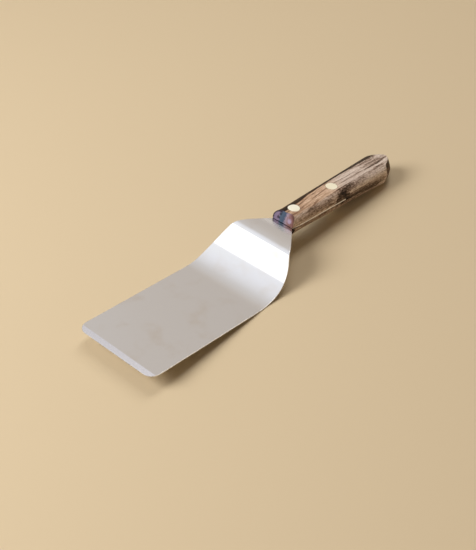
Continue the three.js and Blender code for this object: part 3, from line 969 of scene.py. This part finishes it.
# %% Brass
brass, tree, shader = new_finish("sanded_brass")
lines, clouds = drawn_out(tree, 12.0, 2.5)[1:]
tone = mixed(tree, lines, picked(244, 240, 220), picked(252, 249, 236))
aged = soft_step(tree, clouds, 0.4, 0.62, 0.0, 0.6)
tone = mixed(tree, aged, tone, picked(240, 228, 194))
tree.links.new(tone, shader.inputs["Base Color"])
tree.links.new(soft_step(tree, lines, 0.3, 0.7, 0.62, 0.74), shader.inputs["Roughness"])
shader.inputs["Metallic"].default_value = 0.4
relief = add(tree, "Bump", {"Height": lines, "Strength": 0.15, "Distance": 0.0001})
tree.links.new(relief.outputs[0], shader.inputs["Normal"])
for rivet in rivets:
    rivet.data.materials.append(brass)
print(brass.name, "on", len(rivets), "pieces")

# %% [markdown]
# ## Floor
# A plain pale floor carries the tool and keeps its shadow. A small sheet of paper would show its
# edges from low down, so it reaches far beyond every picture, and it is dull so that it mirrors
# nothing.

# %% Floor
FLOOR_HALF = 8.0

floor_mesh = bpy.data.meshes.new("floor")
floor_corners = FLOOR_HALF * np.array([[-1, -1, 0], [1, -1, 0], [1, 1, 0], [-1, 1, 0]])
floor_mesh.from_pydata(floor_corners.tolist(), [], [(0, 1, 2, 3)])
floor = bpy.data.objects.new("floor", floor_mesh)
bpy.context.scene.collection.objects.link(floor)
floor_finish, tree, shader = new_finish("pale_floor")
shader.inputs["Base Color"].default_value = picked(223, 203, 169)
shader.inputs["Roughness"].default_value = 0.9
floor_mesh.materials.append(floor_finish)
print("floor", 2 * FLOOR_HALF, "m square")

# %% [markdown]
# ## Softboxes
# Three softboxes light the tool. The main one stands beyond the blade's front edge on the left and
# casts the shadows on the right. Metal doesn't show it, because its image would bleach the blade.
# A weak one stands lower on the same side, just where the steep part of the sheet mirrors it into
# the camera as a white band. The third hangs above, a little towards the handle, and its shadow
# lies in front of the bevel.

# %% Softboxes
BAND_STARTS, BAND_ENDS = np.radians([41.3, 62.0])
LAMP_DISTANCE = 1.5
SIDE_WIDTH, SIDE_RADIANCE = 0.8, 0.7
MAIN_LENGTH, MAIN_WIDTH, MAIN_RADIANCE = 0.66, 0.8, 10.6
MAIN_AWAY = Vector((-0.67, 0.38, 0.63)).normalized()
TOP_LENGTH, TOP_WIDTH, TOP_RADIANCE = 1.2, 0.5, 3.55
TOP_AWAY = Vector((0.41, 0.19, 0.89)).normalized()


def mirrored(slope):
    """Direction that a sheet of this slope mirrors into the camera: the camera's direction turned
    over about the sheet's normal."""
    normal = Vector((np.sin(rest_turn - slope), 0, np.cos(rest_turn - slope)))
    return 2 * normal.dot(camera_back) * normal - camera_back


def add_softbox(name, away, long_side, length, width, radiance, in_mirrors):
    """An even rectangle of light that faces the heel, with its radiance and whether metal shows it."""
    data = bpy.data.lights.new(name, "AREA")
    data.shape = "RECTANGLE"
    data.size = length
    data.size_y = width
    data.energy = radiance * np.pi * length * width
    lamp = bpy.data.objects.new(name, data)
    heel_place = Vector(lay_down(above_sheet(np.array([[heel_end, 0, 0]])))[0])
    lamp.location = heel_place + LAMP_DISTANCE * away
    lamp.visible_glossy = in_mirrors
    lamp.rotation_mode = "QUATERNION"
    axes = Matrix((long_side, away.cross(long_side), away)).transposed()
    lamp.rotation_quaternion = axes.to_quaternion()
    bpy.context.scene.collection.objects.link(lamp)
    share = radiance * length * width * away.z / LAMP_DISTANCE**2 / np.pi
    print(name, round(length, 2), "m long, gives a level white card", round(share, 2))


side_away = mirrored((BAND_STARTS + BAND_ENDS) / 2).normalized()
side_length = 2 * LAMP_DISTANCE * np.tan(side_away.angle(mirrored(BAND_STARTS)))
side_long = (mirrored(BAND_STARTS) - mirrored(BAND_ENDS)).normalized()
add_softbox("side_softbox", side_away, side_long, side_length, SIDE_WIDTH, SIDE_RADIANCE, True)
main_long = MAIN_AWAY.cross(Vector((0, 0, 1))).normalized()
add_softbox("main_softbox", MAIN_AWAY, main_long, MAIN_LENGTH, MAIN_WIDTH, MAIN_RADIANCE, False)
top_long = TOP_AWAY.cross(Vector((0, 1, 0))).normalized()
add_softbox("top_softbox", TOP_AWAY, top_long, TOP_LENGTH, TOP_WIDTH, TOP_RADIANCE, True)

# %% [markdown]
# ## World
# The room gives the rest of the light. One even world would leave the steel either dark or without
# form, so rays are told apart. Dull surfaces see a dim warm room. The camera and mirrors see a pale
# backdrop that grows brighter with height, which shows the bends from every side. Where the blade
# and its bends mirror it into the camera stands a card, brightest at one place, for the change of
# tone along the sheet. All rays see a wall of the floor's tone near the horizon.

# %% World
SKY_BRIGHTEST = Vector((-0.22, 0.84, 0.50)).normalized()
SKY_STRENGTH = 1.3
ROOM_COLOUR = (0.115, 0.09, 0.066, 1)
PALE_LOW = (0.42, 0.375, 0.335, 1)
PALE_HIGH = (0.66, 0.61, 0.57, 1)
PALE_FROM, PALE_TO = 0.3, 0.9
WALL_COLOUR = (0.57, 0.47, 0.33, 1)
WALL_FULL, WALL_GONE = 0.12, 0.3
CARD_FULL, CARD_GONE = 0.16, 0.36
CARD_FOOT, CARD_TOP = 0.25, 0.42

world = bpy.data.worlds.new("studio")
bpy.context.scene.world = world
world.use_nodes = True
tree = world.node_tree
toward = add(tree, "TexCoord").outputs["Generated"]
nearness = add(tree, "VectorMath", {0: toward, 1: SKY_BRIGHTEST}, operation="DOT_PRODUCT").outputs["Value"]
sky_place = sums(tree, "MULTIPLY_ADD", nearness, 0.5, 0.5)
card = colour_run(tree, sky_place, [
    (0.30, (0.115, 0.088, 0.065, 1)), (0.50, (0.215, 0.18, 0.146, 1)), (0.65, (0.377, 0.338, 0.304, 1)),
    (0.75, (0.507, 0.460, 0.422, 1)), (0.80, (0.545, 0.497, 0.458, 1)), (0.87, (0.635, 0.613, 0.605, 1)),
    (0.94, (0.865, 0.876, 0.930, 1)), (0.965, (0.93, 0.95, 0.98, 1)),
])
leftward, upward = add(tree, "SeparateXYZ", {0: toward}).outputs[1:3]
card_middle = -camera_back.y
off_card = sums(tree, "ABSOLUTE", sums(tree, "SUBTRACT", leftward, card_middle))
on_card = soft_step(tree, off_card, CARD_FULL, CARD_GONE, 1.0, 0.0)
on_card = both(tree, on_card, soft_step(tree, upward, CARD_FOOT, CARD_TOP))
path = add(tree, "LightPath").outputs
mirrored_ray = sums(tree, "MAXIMUM", path["Is Glossy Ray"], path["Is Transmission Ray"])
seen = sums(tree, "MAXIMUM", path["Is Camera Ray"], mirrored_ray)
pale = mixed(tree, soft_step(tree, upward, PALE_FROM, PALE_TO), PALE_LOW, PALE_HIGH)
backdrop = mixed(tree, on_card, pale, card)
sky = mixed(tree, seen, ROOM_COLOUR, backdrop)
sky = mixed(tree, soft_step(tree, upward, WALL_FULL, WALL_GONE, 1.0, 0.0), sky, WALL_COLOUR)
background = tree.nodes["Background"]
tree.links.new(sky, background.inputs["Color"])
background.inputs["Strength"].default_value = SKY_STRENGTH
bpy.context.scene.view_settings.view_transform = "Standard"
print("sky is brightest towards", [round(value, 2) for value in SKY_BRIGHTEST])
